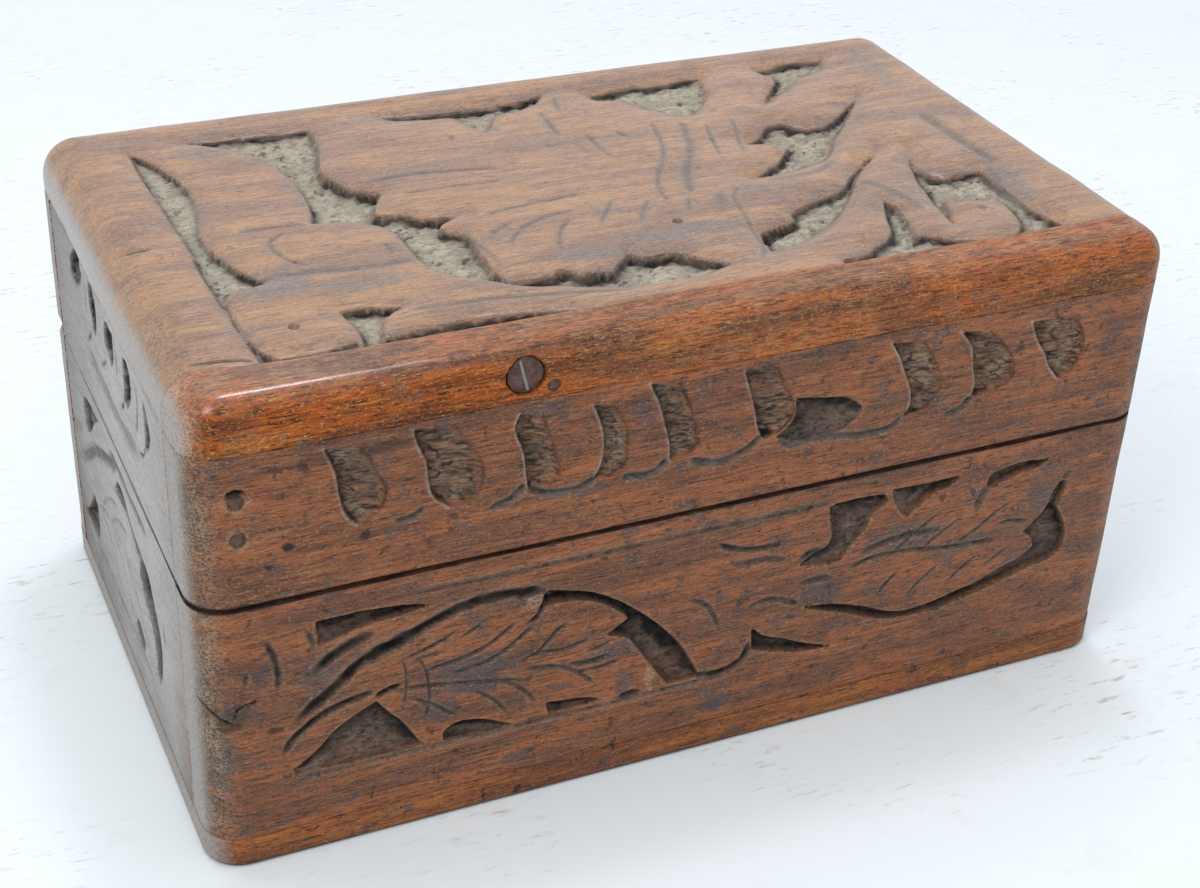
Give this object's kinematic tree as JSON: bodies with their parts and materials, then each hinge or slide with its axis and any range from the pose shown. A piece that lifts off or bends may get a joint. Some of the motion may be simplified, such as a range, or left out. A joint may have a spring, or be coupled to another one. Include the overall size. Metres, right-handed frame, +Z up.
{
  "type": "carved trinket box",
  "caption": "Rectangular hardwood box with a hinged lid, sunk bird-and-leaf carving on the top, leaf panels on the walls, gouged notches round the lid and a screwed front strip.",
  "frame": {"origin": "middle of the box's footprint, on the surface that it stands on", "axes": "+X to the right along the front, +Y from the front to the hinged back, +Z up"},
  "size_m": [0.18, 0.1084, 0.091],
  "materials": {
    "case_wood": "old waxed rosewood-like hardwood, reddish brown, dark in the carving",
    "top_wood": "old waxed hardwood, tan to orange brown, pale dust in the sunk ground",
    "strip_wood": "rubbed glossy, orange brown with dark streaks",
    "iron": "dark, lightly rusted"
  },
  "bodies": {
    "base": {"base_front_board": "case_wood", "base_back_board": "case_wood", "base_left_end": "case_wood", "base_right_end": "case_wood", "base_front_left_nail_1": "iron", "base_front_left_nail_2": "iron", "base_front_right_nail_1": "iron", "base_front_right_nail_2": "iron", "base_back_left_nail_1": "iron", "base_back_left_nail_2": "iron", "base_back_right_nail_1": "iron", "base_back_right_nail_2": "iron", "bottom_board": "case_wood", "bottom_front_nail_1": "iron", "bottom_front_nail_2": "iron", "bottom_front_nail_3": "iron", "bottom_back_nail_1": "iron", "bottom_back_nail_2": "iron", "bottom_back_nail_3": "iron", "left_hinge_lower_leaf": "iron", "left_hinge_pin": "iron", "left_hinge_lower_screw_1": "iron", "left_hinge_lower_screw_2": "iron", "right_hinge_lower_leaf": "iron", "right_hinge_pin": "iron", "right_hinge_lower_screw_1": "iron", "right_hinge_lower_screw_2": "iron"},
    "lid": {"lid_front_board": "case_wood", "lid_back_board": "case_wood", "lid_left_end": "case_wood", "lid_right_end": "case_wood", "lid_front_left_nail_1": "iron", "lid_front_left_nail_2": "iron", "lid_front_right_nail_1": "iron", "lid_front_right_nail_2": "iron", "lid_back_left_nail_1": "iron", "lid_back_left_nail_2": "iron", "lid_back_right_nail_1": "iron", "lid_back_right_nail_2": "iron", "top_panel": "top_wood", "front_strip": "strip_wood", "strip_screw": "iron", "strip_nail": "iron", "left_hinge_upper_leaf": "iron", "left_hinge_upper_screw_1": "iron", "left_hinge_upper_screw_2": "iron", "right_hinge_upper_leaf": "iron", "right_hinge_upper_screw_1": "iron", "right_hinge_upper_screw_2": "iron"}
  },
  "joints": [
    {"name": "lid_hinge", "type": "hinge", "parent": "base", "child": "lid", "pos_m": [0, 0.0524, 0.05345], "axis": [-1, 0, 0], "range_deg": [0, 100]}
  ]
}
